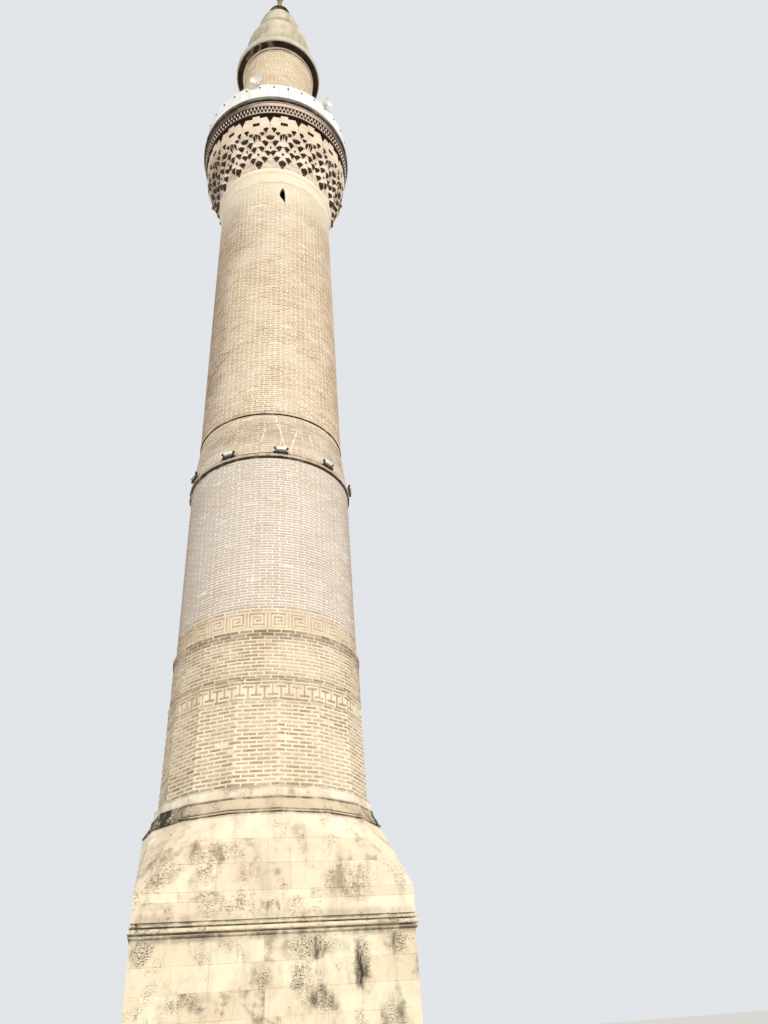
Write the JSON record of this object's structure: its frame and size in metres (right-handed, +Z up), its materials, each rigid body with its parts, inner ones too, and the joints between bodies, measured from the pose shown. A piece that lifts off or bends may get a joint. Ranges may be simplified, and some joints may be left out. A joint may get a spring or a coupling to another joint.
{
  "type": "minaret",
  "caption": "Round brick minaret on a square stone base, with a balcony on stalactite corbels and a bulbous stone cap with a finial.",
  "frame": {"origin": "centre of the base's underside, on the tower's axis at ground level", "axes": "+Z up along the tower's axis, -Y out of the front face of the square base, +X to the right of someone who faces the front"},
  "size_m": [4.784, 4.784, 38.7519],
  "materials": {
    "limestone": "weathered cut stone",
    "brick": "unglazed brick with wide lime joints",
    "carved_brick": "unglazed cut brick",
    "dark_stone": "dark weathered stone",
    "white_marble": "smooth white marble",
    "cap_stone": "pale weathered stone",
    "lamp_metal": "grey paint",
    "finial_metal": "dull metal",
    "horn_paint": "white paint"
  },
  "bodies": {
    "root": {"ground_floor": "limestone", "front_wall": "limestone", "right_wall": "limestone", "left_wall": "limestone", "rear_wall_left": "limestone", "rear_wall_right": "limestone", "rear_door_arch": "limestone", "base_moulding": "limestone", "transition_front": "limestone", "transition_right": "limestone", "transition_rear": "limestone", "transition_left": "limestone", "stone_cornice": "limestone", "polygonal_drum": "brick", "lower_fret_band": "brick", "round_drum": "brick", "upper_fret_band": "brick", "lower_shaft_front": "brick", "lower_shaft_right": "brick", "lower_shaft_rear": "brick", "lower_shaft_left": "brick", "lamp_ledge": "brick", "tapered_band": "brick", "thin_ledge": "brick", "upper_shaft_front": "brick", "upper_shaft_right": "brick", "upper_shaft_rear": "brick", "upper_shaft_left": "brick", "stalactite_corbels": "carved_brick", "dentil_band": "brick", "balcony_slab": "dark_stone", "parapet_front": "white_marble", "parapet_right": "white_marble", "parapet_rear": "white_marble", "parapet_left": "white_marble", "upper_drum_front": "brick", "upper_drum_right": "brick", "upper_drum_left": "brick", "upper_drum_rear_left": "brick", "upper_drum_rear_right": "brick", "upper_drum_door_arch": "brick", "drum_moulding": "cap_stone", "eaves": "cap_stone", "cap_lower_bulb": "cap_stone", "cap_upper_bulb": "cap_stone", "cap_collar": "cap_stone", "finial": "finial_metal", "floodlights": "lamp_metal", "loudspeaker_right": "horn_paint", "loudspeaker_left": "horn_paint"}
  },
  "joints": []
}
